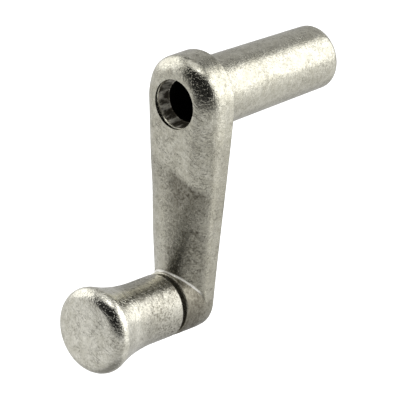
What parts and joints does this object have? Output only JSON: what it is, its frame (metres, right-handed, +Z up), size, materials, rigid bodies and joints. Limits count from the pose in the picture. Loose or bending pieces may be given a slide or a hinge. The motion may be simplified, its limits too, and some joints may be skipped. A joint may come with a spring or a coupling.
{
  "type": "window crank handle",
  "caption": "Crank handle for a window operator: a cast arm with a long hollow barrel that slips over the operator's spindle, and a waisted knob that turns on the arm's foot.",
  "frame": {"origin": "on the drive axis at the mouth of the barrel, where the operator's spindle goes in", "axes": "+Y out of the barrel towards the window, along the drive axis; +Z up, the arm hanging to -Z; the knob points to -Y, to the hand"},
  "size_m": [0.0218, 0.0759, 0.0678],
  "materials": {
    "crank_casting": "tumbled antique nickel plate on a zinc casting, softly worn, with darker flecks",
    "knob_casting": "tumbled antique nickel plate on a zinc casting, a little brighter on the neck",
    "sleeve_steel": "black oxide on steel",
    "stem_steel": "plain turned steel with a peened head",
    "washer_steel": "dark phosphated steel"
  },
  "bodies": {
    "handle": {"crank_arm": "crank_casting", "drive_sleeve": "sleeve_steel", "thrust_washer": "washer_steel", "rear_washer": "washer_steel"},
    "knob": {"knob": "knob_casting", "knob_stem": "stem_steel"}
  },
  "joints": [
    {"name": "knob_spin", "type": "hinge", "parent": "handle", "child": "knob", "pos_m": [0, -0.0517, -0.0469], "axis": [0, -1, 0], "continuous": true}
  ]
}
